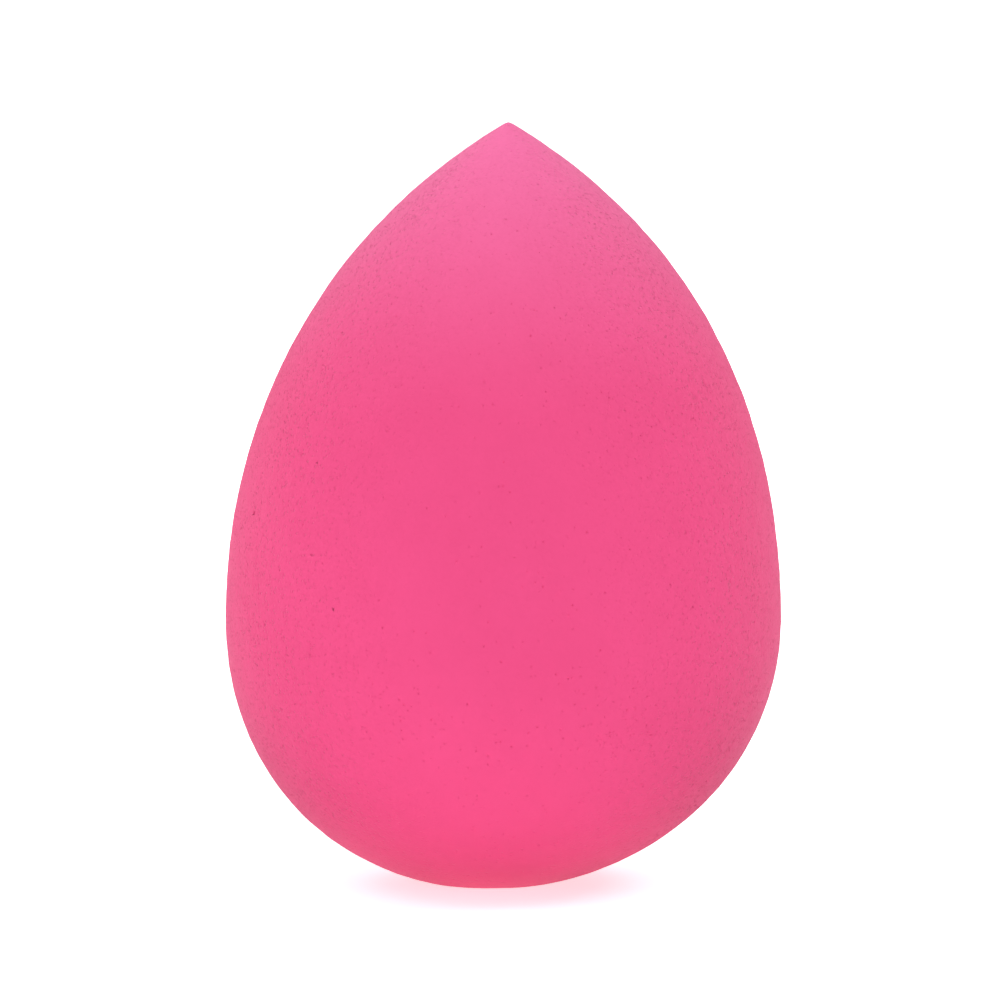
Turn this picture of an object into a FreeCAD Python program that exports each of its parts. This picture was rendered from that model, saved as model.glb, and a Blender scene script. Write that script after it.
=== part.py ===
# Teardrop makeup sponge: one moulded block of soft polyurethane foam, standing tip up.
# A blunt tip opens into gently bowed flanks, a full round belly lies below mid-height,
# and a small flat is cut across the round base, where the foam carries the sponge.
# The frame is +Z up, in millimetres, with the origin at the centre of that flat.
import FreeCAD, Part
import math
import os
from enum import IntEnum

import Sketcher

PARTS_FOLDER = "parts"

# Alias, value and meaning of each driving size: lengths in millimetres, the angle in degrees.
# The outline's handles are shares of the sizes that they follow.
SIZES = [
    ("free_height", 60.0, "tip to round base, before the flat is cut"),
    ("belly_diameter", 43.4, "widest diameter"),
    ("belly_height", 21.5, "height of the widest ring above the round base"),
    ("tip_half_angle", 59.0, "angle between the axis and the flank at the tip"),
    ("tip_radius", 0.5, "rounding of the tip"),
    ("base_flat_depth", 0.5, "depth of the flat that is cut into the round base"),
    ("cut_overrun", 1.0, "how far a cut reaches past what it removes"),
    ("tip_pull_share", 0.572, "flank's handle at the tip, of the rise from belly to tip"),
    ("belly_rise_share", 0.232, "flank's handle at the belly, of the same rise"),
    ("belly_drop_share", 0.642, "bowl's handle at the belly, of the belly's height"),
    ("base_pull_share", 0.496, "bowl's handle at the base, of the belly's radius"),
]

# Lengths that several dimensions share, as expressions on the sheet.
BELLY_RADIUS = "Sizes.belly_diameter / 2"
TIP_PULL = "Sizes.tip_pull_share * (Sizes.free_height - Sizes.belly_height)"

FACING = FreeCAD.Vector(0, 0, 1)


class Place(IntEnum):
    """Points on a sketch element, by the sketcher's own numbers."""
    START = 1
    END = 2
    CENTRE = 3


class Axis(IntEnum):
    """The sketch's own axes, of which the one across starts at the origin."""
    ACROSS = -1
    UP = -2


START, END, CENTRE = Place
ORIGIN = (Axis.ACROSS, START)


def make_sheet(doc):
    """The spreadsheet of driving sizes, one row each. Returns the sizes by alias."""
    sheet = doc.addObject("Spreadsheet::Sheet", "Sizes")
    for row, (alias, value, meaning) in enumerate(SIZES, start=1):
        sheet.set(f"A{row}", alias)
        sheet.set(f"B{row}", str(value))
        sheet.set(f"C{row}", meaning)
        sheet.setAlias(f"B{row}", alias)
    doc.recompute()
    return {alias: float(sheet.get(alias)) for alias, _, _ in SIZES}


def new_sketch(body, name, plane_role):
    """An empty sketch on one of the body's own origin planes."""
    plane = next(p for p in body.Origin.OriginFeatures if p.Role == plane_role)
    sketch = body.newObject("Sketcher::SketchObject", name)
    sketch.AttachmentSupport = [(plane, "")]
    sketch.MapMode = "FlatFace"
    return sketch


def join(sketch, kind, *places):
    """Adds a constraint that has no size, such as a shared point."""
    sketch.addConstraint(Sketcher.Constraint(kind, *places))


def drawn_length(sketch, kind, places):
    """What a dimension measures on the outline as it is drawn."""
    if kind == "Radius":
        return sketch.Geometry[places[0]].Radius
    span = sketch.getPoint(*places[2:]) - sketch.getPoint(*places[:2])
    return span.x if kind == "DistanceX" else span.y


def measure(sketch, name, expression, kind, *places):
    """Adds a named dimension that the sheet drives."""
    length = drawn_length(sketch, kind, places)
    index = sketch.addConstraint(Sketcher.Constraint(kind, *places, length))
    sketch.renameConstraint(index, name)
    sketch.setExpression(f"Constraints.{name}", expression)


def add_cubic(sketch, points):
    """A cubic curve between two ends, shaped by two handles. Returns it and its four points."""
    curve = Part.BezierCurve()
    curve.setPoles([FreeCAD.Vector(across, up, 0) for across, up in points])
    drawn = sketch.addGeometry(curve.toBSpline(), False)
    sketch.exposeInternalGeometry(drawn)
    return drawn, [(drawn + number, CENTRE) for number, _ in enumerate(points, start=1)]


def outline_points(size):
    """Ends and handles of the flank and of the bowl, as (across, up) from the round base."""
    slope = math.radians(size["tip_half_angle"])
    radius, height = size["belly_diameter"] / 2, size["belly_height"]
    rise = size["free_height"] - height
    pull = size["tip_pull_share"] * rise
    tip_across = size["tip_radius"] * math.cos(slope)
    tip_up = size["free_height"] - size["tip_radius"] + size["tip_radius"] * math.sin(slope)
    flank = [
        (tip_across, tip_up),
        (tip_across + pull * math.sin(slope), tip_up - pull * math.cos(slope)),
        (radius, height + size["belly_rise_share"] * rise),
        (radius, height),
    ]
    bowl = [
        (radius, height),
        (radius, height - size["belly_drop_share"] * height),
        (size["base_pull_share"] * radius, 0),
        (0, 0),
    ]
    return flank, bowl


def add_tip_and_axis(sketch, size):
    """The rounding of the tip, and the line down the axis that closes the half outline."""
    centre = FreeCAD.Vector(0, size["free_height"] - size["tip_radius"], 0)
    circle = Part.Circle(centre, FACING, size["tip_radius"])
    slope = math.radians(size["tip_half_angle"])
    tip = sketch.addGeometry(Part.ArcOfCircle(circle, slope, math.pi / 2), False)
    top = FreeCAD.Vector(0, size["free_height"], 0)
    axis = sketch.addGeometry(Part.LineSegment(FreeCAD.Vector(), top), False)
    return tip, axis


def close_outline(sketch, axis, tip, flank, bowl):
    """Joins the axis, tip, flank and bowl end to end, with the tip centred on the axis."""
    join(sketch, "Coincident", axis, START, *ORIGIN)
    join(sketch, "Coincident", axis, END, tip, END)
    join(sketch, "Coincident", tip, START, flank, START)
    join(sketch, "Coincident", flank, END, bowl, START)
    join(sketch, "Coincident", bowl, END, *ORIGIN)
    join(sketch, "PointOnObject", tip, CENTRE, Axis.UP)
    join(sketch, "PointOnObject", tip, END, Axis.UP)


def size_flank(sketch, tip, poles):
    """Dimensions from the tip down to the belly, where the flank's handle stands upright."""
    tip_pole, tip_handle, rise_handle, belly_pole = poles
    measure(sketch, "tip_height", "Sizes.free_height", "DistanceY", *ORIGIN, tip, END)
    measure(sketch, "tip_radius", "Sizes.tip_radius", "Radius", tip)
    measure(sketch, "tip_across", "Sizes.tip_radius * cos(Sizes.tip_half_angle)",
            "DistanceX", *ORIGIN, *tip_pole)
    measure(sketch, "tip_pull_out", f"{TIP_PULL} * sin(Sizes.tip_half_angle)",
            "DistanceX", *tip_pole, *tip_handle)
    measure(sketch, "tip_pull_down", f"{TIP_PULL} * cos(Sizes.tip_half_angle)",
            "DistanceY", *tip_handle, *tip_pole)
    measure(sketch, "belly_radius", BELLY_RADIUS, "DistanceX", *ORIGIN, *belly_pole)
    measure(sketch, "belly_height", "Sizes.belly_height", "DistanceY", *ORIGIN, *belly_pole)
    measure(sketch, "belly_rise",
            "Sizes.belly_rise_share * (Sizes.free_height - Sizes.belly_height)",
            "DistanceY", *belly_pole, *rise_handle)
    join(sketch, "Vertical", *belly_pole, *rise_handle)


def size_bowl(sketch, poles):
    """Dimensions below the belly: one handle hangs upright, the other lies flat at the base."""
    belly_pole, drop_handle, base_handle, _ = poles
    measure(sketch, "belly_drop", "Sizes.belly_drop_share * Sizes.belly_height",
            "DistanceY", *drop_handle, *belly_pole)
    measure(sketch, "base_pull", f"Sizes.base_pull_share * {BELLY_RADIUS}",
            "DistanceX", *ORIGIN, *base_handle)
    join(sketch, "Vertical", *belly_pole, *drop_handle)
    join(sketch, "PointOnObject", *base_handle, Axis.ACROSS)


def draw_half_outline(body, size):
    """Half of the sponge's outline, from the tip over the belly to the round base."""
    sketch = new_sketch(body, "HalfOutline", "XZ_Plane")
    flank_points, bowl_points = outline_points(size)
    flank, flank_poles = add_cubic(sketch, flank_points)
    bowl, bowl_poles = add_cubic(sketch, bowl_points)
    tip, axis = add_tip_and_axis(sketch, size)
    close_outline(sketch, axis, tip, flank, bowl)
    size_flank(sketch, tip, flank_poles)
    size_bowl(sketch, bowl_poles)
    return sketch


def revolve(body, sketch):
    """The whole teardrop: the half outline turned about the axis."""
    teardrop = body.newObject("PartDesign::Revolution", "Teardrop")
    teardrop.Profile = sketch
    teardrop.ReferenceAxis = (sketch, ["V_Axis"])
    body.Document.recompute()
    return teardrop


def cut_base_flat(body, size):
    """The flat that the sponge stands on, cut across the round base."""
    sketch = new_sketch(body, "BaseCut", "XY_Plane")
    sketch.setExpression("AttachmentOffset.Base.z", "Sizes.base_flat_depth")
    disc = Part.Circle(FreeCAD.Vector(), FACING, size["belly_diameter"] / 2)
    drawn = sketch.addGeometry(disc, False)
    join(sketch, "Coincident", drawn, CENTRE, *ORIGIN)
    measure(sketch, "cut_radius", BELLY_RADIUS, "Radius", drawn)

    flat = body.newObject("PartDesign::Pocket", "BaseFlat")
    flat.Profile = sketch
    flat.setExpression("Length", "Sizes.base_flat_depth + Sizes.cut_overrun")
    body.Document.recompute()
    return flat


def make_sponge(doc, size):
    """The foam block, lowered so that its flat lies in the frame's ground plane."""
    body = doc.addObject("PartDesign::Body", "Sponge")
    body.Label = "sponge"
    teardrop = revolve(body, draw_half_outline(body, size))
    flat = cut_base_flat(body, size)
    if flat.Shape.Volume >= teardrop.Shape.Volume:
        raise RuntimeError("the base flat cut nothing")
    body.setExpression("Placement.Base.z", "-Sizes.base_flat_depth")
    return body


def check(doc, pieces):
    """Stops before anything is written if an object failed or a piece isn't one sound solid."""
    for thing in doc.Objects:
        if {"Invalid", "Error"} & set(thing.State):
            raise RuntimeError(f"{thing.Label} failed: {thing.State}")
    for piece in pieces:
        shape = piece.Shape
        if shape.isNull() or not shape.isValid() or len(shape.Solids) != 1:
            raise RuntimeError(f"{piece.Label} isn't one valid solid")


def main():
    doc = FreeCAD.newDocument("MakeupSponge")
    size = make_sheet(doc)
    pieces = [make_sponge(doc, size)]
    doc.recompute()
    check(doc, pieces)
    os.makedirs(PARTS_FOLDER, exist_ok=True)
    for piece in pieces:
        piece.Shape.exportStep(os.path.join(PARTS_FOLDER, f"{piece.Label}.step"))
        box = piece.Shape.BoundBox
        print(f"{piece.Label}: {box.XLength:.2f} x {box.YLength:.2f} x {box.ZLength:.2f} mm,"
              f" lowest at {box.ZMin:.3f} mm, {piece.Shape.Volume:.0f} mm3")


main()
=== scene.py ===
# Teardrop makeup sponge of pink foam, standing tip up on a white floor under soft studio light.
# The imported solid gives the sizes. The foam skin drawn around it adds what a moulded sponge
# has beyond a turned shape: a slight lean, shallow lumps, a fine grain and open pores.
import math

import bpy
import numpy as np
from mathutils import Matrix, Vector


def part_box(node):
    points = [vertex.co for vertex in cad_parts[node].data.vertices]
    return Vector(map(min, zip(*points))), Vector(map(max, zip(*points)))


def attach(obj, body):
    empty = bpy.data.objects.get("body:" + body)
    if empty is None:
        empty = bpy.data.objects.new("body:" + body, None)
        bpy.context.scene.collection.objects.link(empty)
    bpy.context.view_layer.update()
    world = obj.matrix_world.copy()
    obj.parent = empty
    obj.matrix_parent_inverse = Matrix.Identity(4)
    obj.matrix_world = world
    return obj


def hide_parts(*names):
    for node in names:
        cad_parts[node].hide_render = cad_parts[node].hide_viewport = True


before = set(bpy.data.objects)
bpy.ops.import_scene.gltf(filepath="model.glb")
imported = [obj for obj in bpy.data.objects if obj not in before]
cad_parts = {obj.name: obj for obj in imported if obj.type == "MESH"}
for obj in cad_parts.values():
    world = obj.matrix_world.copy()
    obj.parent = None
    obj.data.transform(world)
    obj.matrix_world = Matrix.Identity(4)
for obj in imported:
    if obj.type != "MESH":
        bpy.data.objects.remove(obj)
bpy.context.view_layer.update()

NODE = "sponge"
MM = 0.001
SEED = 4127

# Half outline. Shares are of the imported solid's sizes, measured before the base flat is cut.
FLAT_DEPTH = 0.5 * MM
FLAT_SOFTNESS = 0.08 * MM
BELLY_HEIGHT_SHARE = 0.3583
TIP_HALF_ANGLE = math.radians(59.0)
TIP_RADIUS = 0.5 * MM
TIP_PULL_SHARE = 0.572
BELLY_RISE_SHARE = 0.232
BELLY_DROP_SHARE = 0.642
BASE_PULL_SHARE = 0.496
TIP_LEAN = 0.4 * MM
BASE_LEAN = -1.0 * MM
TIP_STEPS = 60
CURVE_STEPS = 600

# Skin: cells along each edge of the cube that is blown up into the teardrop, and its unevenness.
CELLS = 106
SAME_POINT_DIGITS = 7
CELL_JITTER = 0.32
CALM_TIP = 1.5 * MM
CALM_STEEPNESS = 4
LUMP_HEIGHT = 0.012 * MM
LUMP_WAVES = 24
LUMP_LENGTHS = (6 * MM, 15 * MM)
GRAIN_HEIGHT = 0.008 * MM
GRAIN_WAVES = 60
GRAIN_LENGTHS = (0.9 * MM, 2.2 * MM)

# Open pores that are cut into the skin, each inside one cell.
PORE_COUNT = 3200
PORE_RADII = (0.04 * MM, 0.10 * MM)
PORE_SIZE_BIAS = (1.2, 2.5)
PORE_UNEVENNESS = (0.85, 1.15)
PORE_DEPTH_SHARE = 1.4
PORE_FLOOR_SHARE = 0.6
PORE_CLUMP_LENGTHS = (8 * MM, 25 * MM)
PORE_CLUMPING = 0.6
# Painted shade in the pores: how dark their floors are, and the share of that on their lips.
PORE_SHADES = (0.06, 0.14)
PORE_LIP_SHARE = 0.35
LARGEST_PORE = (-19.4 * MM, -8.0 * MM, 29.7 * MM)
LARGEST_PORE_RADIUS = 0.22 * MM
LARGEST_PORE_SHADE = 0.9

# Foam: linear colours, and the heights between which painted top light pales it towards the tip.
PINK = (0.858, 0.082, 0.250, 1)
TIP_PINK_PAINTED_LIGHT = (0.945, 0.186, 0.433, 1)
# A dark pink: the foam's own in mottle and specks, painted shade in pits and pores.
DARK_PINK_AND_PORE_SHADE = (0.62, 0.035, 0.120, 1)
PAINTED_TOP_LIGHT_HEIGHTS = (36 * MM, 66 * MM)

# Finer markings: sizes, and how much dark pink shows in them; in the pits it is painted shade.
MOTTLE_SIZE = 6 * MM
MOTTLE_SHADE = 0.08
SPECK_SIZE = 0.25 * MM
SPECK_SHADE = 0.26
NOISE_RANGE = (0.3, 0.7)
NOISE_ROUGHNESS = 0.6
PIT_SPACING = 0.33 * MM
PIT_REACH = (0.08, 0.34)
PIT_SHADE = 0.17

# Specks, pits and relief fade towards the front of the belly, and a little in patches. The way
# there is measured on a circle of radius one about the axis, with heights in steps.
# The fade of specks and pits towards the front is painted light: flat light on the front shows them
# less.
HEIGHT_STEP = 78 * MM
MARKS_FADE_SPOT = (0, -1, 0.23)
MARKS_FADE_REACH = (0.3, 1.05)
MARKS_FADE_LEAST = 0.13
PATCH_SIZE = 9 * MM
PATCH_LEAST = 0.8

# Surface: its relief, roughness, gloss and sheen.
RELIEF_SIZE = 0.4 * MM
RELIEF_HEIGHT = 0.08 * MM
ROUGHNESS_SIZE = 2 * MM
ROUGHNESS = (0.86, 0.97)
FOAM_IOR = 1.4
FOAM_SPECULAR = 0.1
SHEEN = 0.13
SHEEN_ROUGHNESS = 0.5

# Name, place, width and height, and power in watts of each softbox. All of them face the sponge.
SOFTBOXES = [
    ("front", (-0.09, -1.0, 0.06), (0.9, 0.1), 4.9),
    ("left", (-0.9, 0.0, 0.3), (0.5, 0.5), 1.4),
    ("right", (0.9, 0.0, 0.3), (0.5, 0.5), 0.3),
    ("top_left", (-0.6, 0.0, 0.75), (0.5, 0.5), 2.7),
    ("top_right", (0.6, 0.0, 0.75), (0.5, 0.5), 4.2),
    ("left_back", (-0.6, 0.6, 0.6), (0.5, 0.5), 2.5),
    ("right_back", (0.6, 0.6, 0.6), (0.5, 0.5), 1.8),
]
SOFTBOX_AIM = Vector((0, 0, 25 * MM))
AMBIENT = 0.18

# Floor: its colour, the light that it gives off under the sponge, and the white that the camera
# sees it add, near and far.
FLOOR_COLOUR = (0.95, 0.95, 0.95, 1)
FLOOR_HALF = 12.0
FLOOR_GLOW = 0.3
FLOOR_GLOW_REACH = (8 * MM, 22 * MM)
FLOOR_NEAR_FAR = (0.1, 0.5)
FLOOR_LIFT = (0.6, 1.0)

# Camera: distance in metres, sensor and lens in millimetres.
CAMERA_DISTANCE = 0.7
CAMERA_ELEVATION = math.radians(5.5)
CAMERA_SENSOR = 36.0
CAMERA_LENS = 322.8
CAMERA_CLIP = (0.01, 100)
CAMERA_AIM = Vector((-0.25 * MM, 0, 29.97 * MM))


def cubic(start, start_handle, end_handle, end):
    """Points along a cubic curve between two ends that two handles pull."""
    t = np.linspace(0, 1, CURVE_STEPS)[:, None]
    a, b, c, d = (np.array(p) for p in (start, start_handle, end_handle, end))
    return (1 - t) ** 3 * a + 3 * (1 - t) ** 2 * t * b + 3 * (1 - t) * t ** 2 * c + t ** 3 * d


def half_outline(low, high):
    """Rows of radius, height and sideways lean, from the tip down to the base."""
    radius = (high[0] - low[0]) / 2
    free = high[2] - low[2] + FLAT_DEPTH
    belly = BELLY_HEIGHT_SHARE * free
    rise = free - belly
    pull = TIP_PULL_SHARE * rise
    turn = np.linspace(0, math.pi / 2 - TIP_HALF_ANGLE, TIP_STEPS)
    tip = np.column_stack([TIP_RADIUS * np.sin(turn), free - TIP_RADIUS * (1 - np.cos(turn)),
                           np.full(TIP_STEPS, TIP_LEAN)])
    across, up, _ = tip[-1]
    flank = cubic((across, up, TIP_LEAN),
                  (across + pull * math.sin(TIP_HALF_ANGLE),
                   up - pull * math.cos(TIP_HALF_ANGLE), TIP_LEAN),
                  (radius, belly + BELLY_RISE_SHARE * rise, 0), (radius, belly, 0))
    bowl = cubic((radius, belly, 0), (radius, belly - BELLY_DROP_SHARE * belly, 0),
                 (BASE_PULL_SHARE * radius, 0, BASE_LEAN), (0, 0, BASE_LEAN))
    rows = np.vstack([tip, flank[1:], bowl[1:]])
    rows[:, 1] -= FLAT_DEPTH
    return rows


def unit(vectors):
    """The same directions with length one."""
    return vectors / np.linalg.norm(vectors, axis=1, keepdims=True)


def cube_sphere():
    """Unit directions and quads of a cube with evenly turned cells, blown up into a ball."""
    steps = np.tan(np.linspace(-math.pi / 4, math.pi / 4, CELLS + 1))
    u, v = np.meshgrid(steps, steps, indexing="ij")
    one = np.ones_like(u)
    sides = [(one, u, v), (-one, v, u), (v, one, u), (u, -one, v), (u, v, one), (v, u, -one)]
    points = unit(np.vstack([np.stack(side, -1).reshape(-1, 3) for side in sides]))
    corner = np.arange(u.size).reshape(u.shape)
    cell = np.stack([corner[:-1, :-1], corner[1:, :-1], corner[1:, 1:], corner[:-1, 1:]], -1)
    quads = np.vstack([cell.reshape(-1, 4) + side * u.size for side in range(len(sides))])
    _, first, same = np.unique(points.round(SAME_POINT_DIGITS), axis=0,
                               return_index=True, return_inverse=True)
    return points[first], same.reshape(-1)[quads]


def waves(points, lengths, count, rng):
    """A smooth uneven field with unit spread: plane waves of random length and heading."""
    heading = unit(rng.normal(size=(count, 3))) / rng.uniform(*lengths, size=(count, 1))
    phase = rng.uniform(0, 2 * math.pi, size=count)
    return np.cos(2 * math.pi * points @ heading.T + phase).sum(axis=1) * math.sqrt(2 / count)


def soft_floor(height):
    """Heights with the round base pressed flat at zero, over a soft edge."""
    pressed = (height + np.sqrt(height ** 2 + FLAT_SOFTNESS ** 2)) / 2
    return pressed - pressed.min()


def outward(points, quads):
    """Unit normals at the corners of the quads."""
    corner = points[quads]
    face = np.cross(corner[:, 2] - corner[:, 0], corner[:, 3] - corner[:, 1])
    normals = np.zeros_like(points)
    for place in quads.T:
        np.add.at(normals, place, face)
    return unit(normals)


def skin(rows, rng):
    """The sponge's closed outer surface, with its lean, lumps and grain. The tip stays calm."""
    directions, quads = cube_sphere()
    length = np.concatenate([[0], np.cumsum(np.hypot(*np.diff(rows[:, :2], axis=0).T))])
    along = np.arccos(np.clip(directions[:, 2], -1, 1)) / math.pi * length[-1]
    calm = np.clip(along / CALM_TIP, 0, 1)[:, None] ** CALM_STEEPNESS
    jitter = rng.uniform(-1, 1, size=directions.shape) * CELL_JITTER * math.pi / 2 / CELLS
    directions = unit(directions + jitter * calm)

    along = np.arccos(np.clip(directions[:, 2], -1, 1)) / math.pi * length[-1]
    radius, height, lean = (np.interp(along, length, column) for column in rows.T)
    turn = np.arctan2(directions[:, 1], directions[:, 0])
    points = np.column_stack([lean + radius * np.cos(turn), radius * np.sin(turn), height])
    bump = LUMP_HEIGHT * waves(points, LUMP_LENGTHS, LUMP_WAVES, rng)
    bump += GRAIN_HEIGHT * waves(points, GRAIN_LENGTHS, GRAIN_WAVES, rng)
    points += outward(points, quads) * bump[:, None] * calm
    points[:, 2] = soft_floor(points[:, 2])
    return points, quads


def choose_cells(middle, rng):
    """Cells that open into pores, more of them in some patches. The largest pore comes last."""
    height = middle[:, 2]
    bare = (height > 2 * FLAT_DEPTH) & (height < height.max() - CALM_TIP)
    weight = bare * np.exp(PORE_CLUMPING * waves(middle, PORE_CLUMP_LENGTHS, LUMP_WAVES, rng))
    largest = np.linalg.norm(middle - LARGEST_PORE, axis=1).argmin()
    weight[largest] = 0
    chosen = rng.choice(len(middle), size=PORE_COUNT - 1, replace=False, p=weight / weight.sum())
    return np.append(chosen, largest)


def pore_rings(corners, radius, rng):
    """Lip and floor of a pore inside each cell, as four points each."""
    middle = corners.mean(axis=1)
    across = unit(corners[:, 1] + corners[:, 2] - corners[:, 0] - corners[:, 3])
    up = corners[:, 2] + corners[:, 3] - corners[:, 0] - corners[:, 1]
    inward = unit(np.cross(up, across))
    up = np.cross(across, inward)
    turn = rng.uniform(-math.pi / 4, math.pi / 4, size=len(corners))
    lip, floor = [], []
    for corner in range(4):
        # The first corner lies low and to the left in its cell, and the next ones follow round.
        angle = (turn + math.radians(225 + 90 * corner))[:, None]
        reach = (radius * rng.uniform(*PORE_UNEVENNESS, size=len(corners)))[:, None]
        side = (across * np.cos(angle) + up * np.sin(angle)) * reach
        lip.append(middle + side)
        floor.append(middle + side * PORE_FLOOR_SHARE + inward * PORE_DEPTH_SHARE * radius[:, None])
    return lip, floor


def open_pores(points, quads, rng):
    """Sinks the pores into the skin. Returns its points, its quads and the painted shade at each
    point, darkest on the pore floors.
    """
    chosen = choose_cells(points[quads].mean(axis=1), rng)
    cells, count = quads[chosen], len(chosen)
    small, large = PORE_RADII
    radius = small + (large - small) * rng.beta(*PORE_SIZE_BIAS, size=count)
    radius[-1] = LARGEST_PORE_RADIUS
    lip, floor = pore_rings(points[cells], radius, rng)
    lip_at = len(points) + np.arange(count)[:, None] + count * np.arange(4)
    floor_at = lip_at + 4 * count
    faces = [np.delete(quads, chosen, axis=0), floor_at]
    for ring, inner in ((cells, lip_at), (lip_at, floor_at)):
        for corner in range(4):
            after = (corner + 1) % 4
            faces.append(np.column_stack([ring[:, corner], ring[:, after],
                                          inner[:, after], inner[:, corner]]))
    # Painted shade: each pore's floor is darkened in colour, and its lip a little less.
    shade = rng.uniform(*PORE_SHADES, size=count)
    shade[-1] = LARGEST_PORE_SHADE
    shade = np.tile(shade, 4)
    painted_pore_shade = np.concatenate([np.zeros(len(points)), PORE_LIP_SHARE * shade, shade])
    return np.vstack([points, *lip, *floor]), np.vstack(faces), painted_pore_shade


def make_object(name, points, faces):
    """An object with a plain mesh."""
    mesh = bpy.data.meshes.new(name)
    mesh.from_pydata(points, [], faces)
    made = bpy.data.objects.new(name, mesh)
    bpy.context.scene.collection.objects.link(made)
    return made


def node(tree, kind, inputs, **settings):
    """A shader node with its settings, and with a value or a link on each input given."""
    made = tree.nodes.new(kind)
    for name, value in settings.items():
        setattr(made, name, value)
    feed(tree, made, inputs)
    return made


def feed(tree, made, inputs):
    """Puts a value or a link on each input given."""
    for name, value in inputs.items():
        if isinstance(value, bpy.types.NodeSocket):
            tree.links.new(value, made.inputs[name])
        else:
            made.inputs[name].default_value = value


def spread(tree, value, from_range, to_range, kind="LINEAR"):
    """A value carried from one range to another, and held at its ends."""
    ends = zip(("From Min", "From Max", "To Min", "To Max"), (*from_range, *to_range))
    made = node(tree, "ShaderNodeMapRange", {"Value": value, **dict(ends)}, interpolation_type=kind)
    return made.outputs["Result"]


def maths(tree, operation, first, second):
    """Two values put together."""
    return node(tree, "ShaderNodeMath", {0: first, 1: second}, operation=operation).outputs[0]


def blend(tree, share, first, second):
    """The first colour, with a share of the second."""
    mix = node(tree, "ShaderNodeMix", {0: share, 6: first, 7: second}, data_type="RGBA")
    return mix.outputs[2]


def noise(tree, place, size, detail):
    """Soft random spots of about the given size."""
    inputs = {"Vector": place, "Scale": 1 / size, "Detail": detail, "Roughness": NOISE_ROUGHNESS}
    return node(tree, "ShaderNodeTexNoise", inputs).outputs["Fac"]


def around_and_up(tree, place):
    """A place as its direction from the axis, of length one, with its height in steps."""
    level = node(tree, "ShaderNodeVectorMath", {0: place, 1: (1, 1, 0)}, operation="MULTIPLY")
    way = node(tree, "ShaderNodeVectorMath", {0: level.outputs["Vector"]}, operation="NORMALIZE")
    raised = {0: place, 1: (0, 0, 1 / HEIGHT_STEP), 2: way.outputs["Vector"]}
    return node(tree, "ShaderNodeVectorMath", raised, operation="MULTIPLY_ADD").outputs["Vector"]


def marking_strength(tree, place):
    """How strongly specks, pits and relief show, in patches. They show least on the front of the
    belly; for specks and pits, that fade is painted light, the front being lit flat.
    """
    ends = {0: around_and_up(tree, place), 1: MARKS_FADE_SPOT}
    away = node(tree, "ShaderNodeVectorMath", ends, operation="DISTANCE")
    spot = spread(tree, away.outputs["Value"], MARKS_FADE_REACH, (MARKS_FADE_LEAST, 1))
    patch = spread(tree, noise(tree, place, PATCH_SIZE, 1), NOISE_RANGE, (PATCH_LEAST, 1))
    return maths(tree, "MULTIPLY", spot, patch)


def foam_colour(tree, place, marks_share, pits):
    """Pink, paled towards the tip by painted top light, faintly mottled, darker in specks, with
    painted shade in pits and pores.
    """
    height = node(tree, "ShaderNodeSeparateXYZ", {0: place}).outputs["Z"]
    # Painted light: the pink pales and cools towards the tip, as if lit more from above.
    painted_top_light = spread(tree, height, PAINTED_TOP_LIGHT_HEIGHTS, (0, 1), "SMOOTHSTEP")
    colour = blend(tree, painted_top_light, PINK, TIP_PINK_PAINTED_LIGHT)
    mottle = spread(tree, noise(tree, place, MOTTLE_SIZE, 3), NOISE_RANGE, (0, MOTTLE_SHADE))
    # The pore attribute is painted shade in the pores.
    pores = node(tree, "ShaderNodeAttribute", {}, attribute_name="pore").outputs["Fac"]
    specks = spread(tree, noise(tree, place, SPECK_SIZE, 2), NOISE_RANGE, (0, SPECK_SHADE))
    specks = maths(tree, "MULTIPLY", specks, marks_share)
    # Mottle and specks are the foam's own tone; the pits and pores get painted shade.
    for share in (mottle, specks, maths(tree, "MULTIPLY", pits, PIT_SHADE), pores):
        colour = blend(tree, share, colour, DARK_PINK_AND_PORE_SHADE)
    return colour


def foam_material():
    """Matte pink foam with fine pits, a soft relief and a pale velvety sheen."""
    material = bpy.data.materials.new("pink_foam")
    material.use_nodes = True
    tree = material.node_tree
    place = node(tree, "ShaderNodeTexCoord", {}).outputs["Object"]
    marks_share = marking_strength(tree, place)
    # Pits sink the relief, and the colour paints shade in them.
    cells = node(tree, "ShaderNodeTexVoronoi", {"Vector": place, "Scale": 1 / PIT_SPACING})
    pits = spread(tree, cells.outputs["Distance"], PIT_REACH, (1, 0))
    pits = maths(tree, "MULTIPLY", pits, marks_share)
    relief = maths(tree, "MULTIPLY", noise(tree, place, RELIEF_SIZE, 3), marks_share)
    bump = node(tree, "ShaderNodeBump", {
        "Strength": 1.0,
        "Distance": RELIEF_HEIGHT,
        "Height": maths(tree, "SUBTRACT", relief, pits),
    })
    roughness = spread(tree, noise(tree, place, ROUGHNESS_SIZE, 2), NOISE_RANGE, ROUGHNESS)
    feed(tree, tree.nodes["Principled BSDF"], {
        "Base Color": foam_colour(tree, place, marks_share, pits),
        "Roughness": roughness,
        "Normal": bump.outputs["Normal"],
        "IOR": FOAM_IOR,
        "Specular IOR Level": FOAM_SPECULAR,
        "Sheen Weight": SHEEN,
        "Sheen Roughness": SHEEN_ROUGHNESS,
    })
    return material


def add_sponge():
    """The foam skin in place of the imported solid."""
    rng = np.random.default_rng(SEED)
    points, quads, painted_pore_shade = open_pores(*skin(half_outline(*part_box(NODE)), rng), rng)
    piece = make_object("foam_sponge", points.tolist(), quads.tolist())
    mesh = piece.data
    mesh.attributes.new("pore", "FLOAT", "POINT").data.foreach_set("value", painted_pore_shade)
    mesh.polygons.foreach_set("use_smooth", np.ones(len(quads), dtype=bool))
    mesh.materials.append(foam_material())
    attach(piece, "root")
    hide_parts(NODE)


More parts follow.
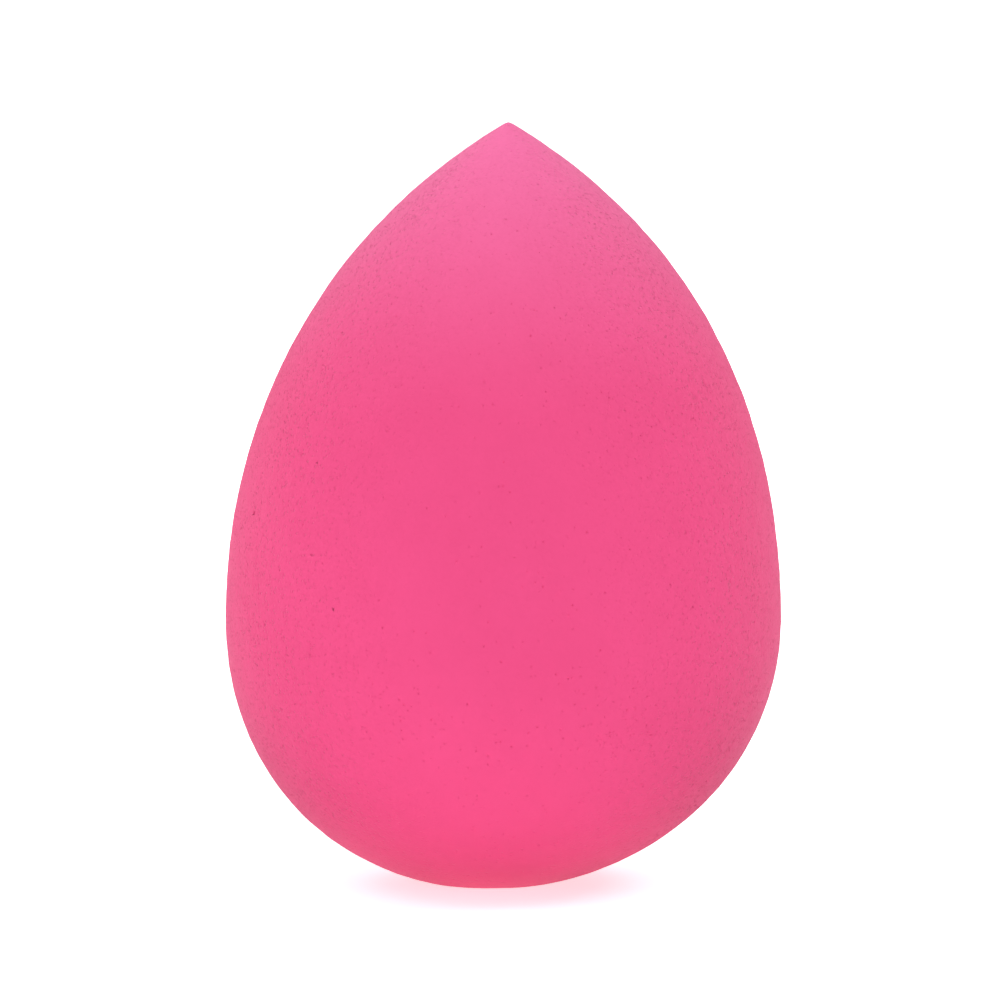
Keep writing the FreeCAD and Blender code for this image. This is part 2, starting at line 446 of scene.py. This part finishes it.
def add_softboxes():
    """Area lamps, turned to the sponge and unseen by the camera."""
    for name, place, size, power in SOFTBOXES:
        lamp = bpy.data.lights.new(name, "AREA")
        lamp.shape = "RECTANGLE"
        lamp.size, lamp.size_y = size
        lamp.energy = power
        box = bpy.data.objects.new(name, lamp)
        box.location = place
        box.rotation_euler = (SOFTBOX_AIM - box.location).to_track_quat("-Z", "Y").to_euler()
        box.visible_camera = False
        bpy.context.scene.collection.objects.link(box)


def shown(tree):
    """One for rays that show a surface as it looks: from the camera, a gloss or a clear body."""
    rays = node(tree, "ShaderNodeLightPath", {}).outputs
    either = maths(tree, "MAXIMUM", rays["Is Camera Ray"], rays["Is Glossy Ray"])
    return maths(tree, "MAXIMUM", either, rays["Is Transmission Ray"])


def add_world():
    """A little even light from all around, before a background that looks plain white."""
    world = bpy.data.worlds.new("studio")
    world.use_nodes = True
    tree = world.node_tree
    white = (1, 1, 1, 1)
    light = node(tree, "ShaderNodeBackground", {"Color": white, "Strength": AMBIENT})
    plain = node(tree, "ShaderNodeBackground", {"Color": white, "Strength": 1.0})
    mix = node(tree, "ShaderNodeMixShader",
               {0: shown(tree), 1: light.outputs[0], 2: plain.outputs[0]})
    feed(tree, tree.nodes["World Output"], {"Surface": mix.outputs[0]})
    bpy.context.scene.world = world


def add_floor():
    """A broad white floor that lights the base a little, keeps a soft shadow and else looks white."""
    half = FLOOR_HALF
    corners = [(-half, -half, 0), (half, -half, 0), (half, half, 0), (-half, half, 0)]
    floor = make_object("floor", corners, [(0, 1, 2, 3)])
    material = bpy.data.materials.new("white_floor")
    material.use_nodes = True
    tree = material.node_tree
    place = node(tree, "ShaderNodeTexCoord", {}).outputs["Object"]
    away = node(tree, "ShaderNodeVectorMath", {0: place}, operation="LENGTH").outputs["Value"]
    lift = maths(tree, "MULTIPLY", spread(tree, away, FLOOR_NEAR_FAR, FLOOR_LIFT), shown(tree))
    glow = spread(tree, away, FLOOR_GLOW_REACH, (FLOOR_GLOW, 0))
    feed(tree, tree.nodes["Principled BSDF"], {
        "Base Color": FLOOR_COLOUR,
        "Roughness": 1.0,
        "Specular IOR Level": 0.0,
        "Emission Strength": maths(tree, "MAXIMUM", lift, glow),
    })
    floor.data.materials.append(material)


def add_camera():
    """A long lens in front of the sponge, looking a little down."""
    camera = bpy.data.cameras.new("camera")
    camera.sensor_width = CAMERA_SENSOR
    camera.lens = CAMERA_LENS
    camera.clip_start, camera.clip_end = CAMERA_CLIP
    eye = bpy.data.objects.new("camera", camera)
    back = Vector((0, -math.cos(CAMERA_ELEVATION), math.sin(CAMERA_ELEVATION)))
    eye.location = CAMERA_AIM + back * CAMERA_DISTANCE
    eye.rotation_euler = (-back).to_track_quat("-Z", "Y").to_euler()
    bpy.context.scene.collection.objects.link(eye)
    bpy.context.scene.camera = eye


add_sponge()
add_world()
add_floor()
add_softboxes()
add_camera()
bpy.context.scene.view_settings.view_transform = "Standard"
